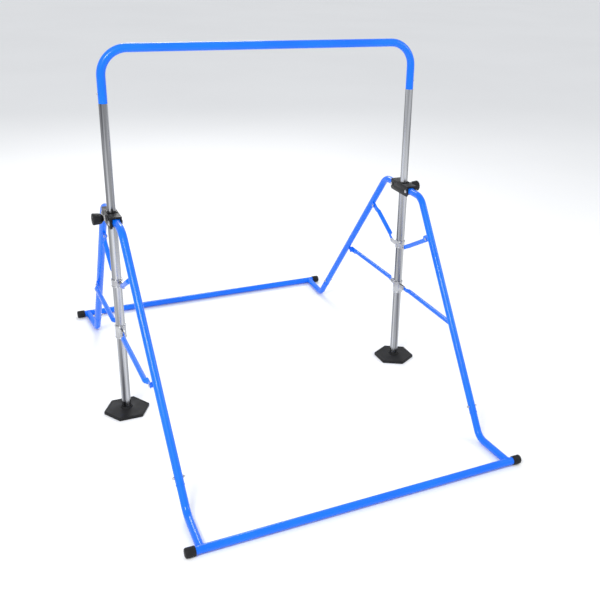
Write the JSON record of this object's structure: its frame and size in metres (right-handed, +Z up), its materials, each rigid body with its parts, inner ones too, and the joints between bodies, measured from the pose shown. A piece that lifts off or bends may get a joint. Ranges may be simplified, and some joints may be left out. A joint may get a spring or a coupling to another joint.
{
  "type": "folding gymnastics kip bar",
  "caption": "Folding training bar: a blue high bar on telescopic chromed masts, braced by hinged legs, sliding collars and struts, with base bars and rubber feet.",
  "frame": {"origin": "centre of the stand on the floor, midway between the two masts", "axes": "+X along the high bar towards the right mast, +Y towards the rear base bar, +Z up"},
  "size_m": [1.3861, 1.924, 1.4325],
  "materials": {
    "blue_paint": "glossy powder coat",
    "chrome": "polished chrome plate",
    "zinc": "bright zinc plate",
    "black_plastic": "moulded, satin",
    "rubber": "moulded rubber, matt"
  },
  "bodies": {
    "clamp_blocks": {"left_block": "black_plastic", "right_block": "black_plastic", "block_bolts": "zinc", "knob_ferrules": "zinc"},
    "high_bar": {"top_bar": "blue_paint", "left_upper_mast": "chrome", "right_upper_mast": "chrome", "snap_buttons": "zinc"},
    "left_knob": {"left_knob": "black_plastic"},
    "right_knob": {"right_knob": "black_plastic"},
    "lower_masts": {"left_lower_mast": "chrome", "right_lower_mast": "chrome", "left_foot": "rubber", "right_foot": "rubber"},
    "upper_collars": {"left_upper_collar": "chrome", "right_upper_collar": "chrome"},
    "lower_collars": {"left_lower_collar": "chrome", "right_lower_collar": "chrome", "lower_collar_bolts": "zinc"},
    "front_legs": {"front_left_leg": "blue_paint", "front_right_leg": "blue_paint", "front_base_bar": "blue_paint", "front_stub_bolts": "zinc", "front_left_cap": "black_plastic", "front_right_cap": "black_plastic", "front_leg_strut_bolts": "zinc"},
    "front_upper_struts": {"front_left_upper_strut": "blue_paint", "front_right_upper_strut": "blue_paint", "front_upper_strut_bolts": "zinc"},
    "front_lower_struts": {"front_left_lower_strut": "blue_paint", "front_right_lower_strut": "blue_paint", "front_lower_strut_bolts": "zinc"},
    "rear_legs": {"rear_left_leg": "blue_paint", "rear_right_leg": "blue_paint", "rear_base_bar": "blue_paint", "rear_stub_bolts": "zinc", "rear_left_cap": "black_plastic", "rear_right_cap": "black_plastic", "rear_leg_strut_bolts": "zinc"},
    "rear_upper_struts": {"rear_left_upper_strut": "blue_paint", "rear_right_upper_strut": "blue_paint", "rear_upper_strut_bolts": "zinc"},
    "rear_lower_struts": {"rear_left_lower_strut": "blue_paint", "rear_right_lower_strut": "blue_paint", "rear_lower_strut_bolts": "zinc"}
  },
  "joints": [
    {"name": "bar_height", "type": "slide", "parent": "clamp_blocks", "child": "high_bar", "axis": [0, 0, 1], "range_m": [-0.33, 0.08]},
    {"name": "front_fold", "type": "hinge", "parent": "clamp_blocks", "child": "front_legs", "pos_m": [0, -0.062, 0.8145], "axis": [1, 0, 0], "range_deg": [0, 37.4]},
    {"name": "rear_fold", "type": "hinge", "parent": "clamp_blocks", "child": "rear_legs", "pos_m": [0, 0.062, 0.8145], "axis": [1, 0, 0], "range_deg": [-37.5, 0]},
    {"name": "mast_drop", "type": "slide", "parent": "clamp_blocks", "child": "lower_masts", "axis": [0, 0, -1], "range_m": [0, 0.2709]},
    {"name": "upper_collar_slide", "type": "slide", "parent": "lower_masts", "child": "upper_collars", "axis": [0, 0, 1], "range_m": [0, 0.0923]},
    {"name": "lower_collar_slide", "type": "slide", "parent": "lower_masts", "child": "lower_collars", "axis": [0, 0, -1], "range_m": [0, 0.301]},
    {"name": "front_upper_strut_turn", "type": "hinge", "parent": "front_legs", "child": "front_upper_struts", "pos_m": [0, -0.23913, 0.66021], "axis": [1, 0, 0], "range_deg": [-83.15, 0]},
    {"name": "rear_upper_strut_turn", "type": "hinge", "parent": "rear_legs", "child": "rear_upper_struts", "pos_m": [0, 0.23913, 0.66021], "axis": [1, 0, 0], "range_deg": [0, 83.15]},
    {"name": "front_lower_strut_turn", "type": "hinge", "parent": "lower_collars", "child": "front_lower_struts", "pos_m": [0, -0.052, 0.362], "axis": [1, 0, 0], "range_deg": [-82.63, 0]},
    {"name": "rear_lower_strut_turn", "type": "hinge", "parent": "lower_collars", "child": "rear_lower_struts", "pos_m": [0, 0.052, 0.362], "axis": [1, 0, 0], "range_deg": [0, 82.63]},
    {"name": "left_knob_turn", "type": "hinge", "parent": "clamp_blocks", "child": "left_knob", "pos_m": [-0.61, 0, 0.8145], "axis": [-1, 0, 0], "range_deg": [0, 360]},
    {"name": "right_knob_turn", "type": "hinge", "parent": "clamp_blocks", "child": "right_knob", "pos_m": [0.61, 0, 0.8145], "axis": [1, 0, 0], "range_deg": [0, 360]}
  ],
  "couplings": [
    {"joint": "rear_fold", "follows": "front_fold", "ratio": -1},
    {"joint": "mast_drop", "follows": "front_fold", "m_per_rad": 0.41349},
    {"joint": "upper_collar_slide", "follows": "front_fold", "m_per_rad": 0.13986},
    {"joint": "lower_collar_slide", "follows": "front_fold", "m_per_rad": 0.45959},
    {"joint": "front_upper_strut_turn", "follows": "front_fold", "ratio": -2.2206},
    {"joint": "rear_upper_strut_turn", "follows": "front_fold", "ratio": 2.2206},
    {"joint": "front_lower_strut_turn", "follows": "front_fold", "ratio": -2.2067},
    {"joint": "rear_lower_strut_turn", "follows": "front_fold", "ratio": 2.2067}
  ]
}
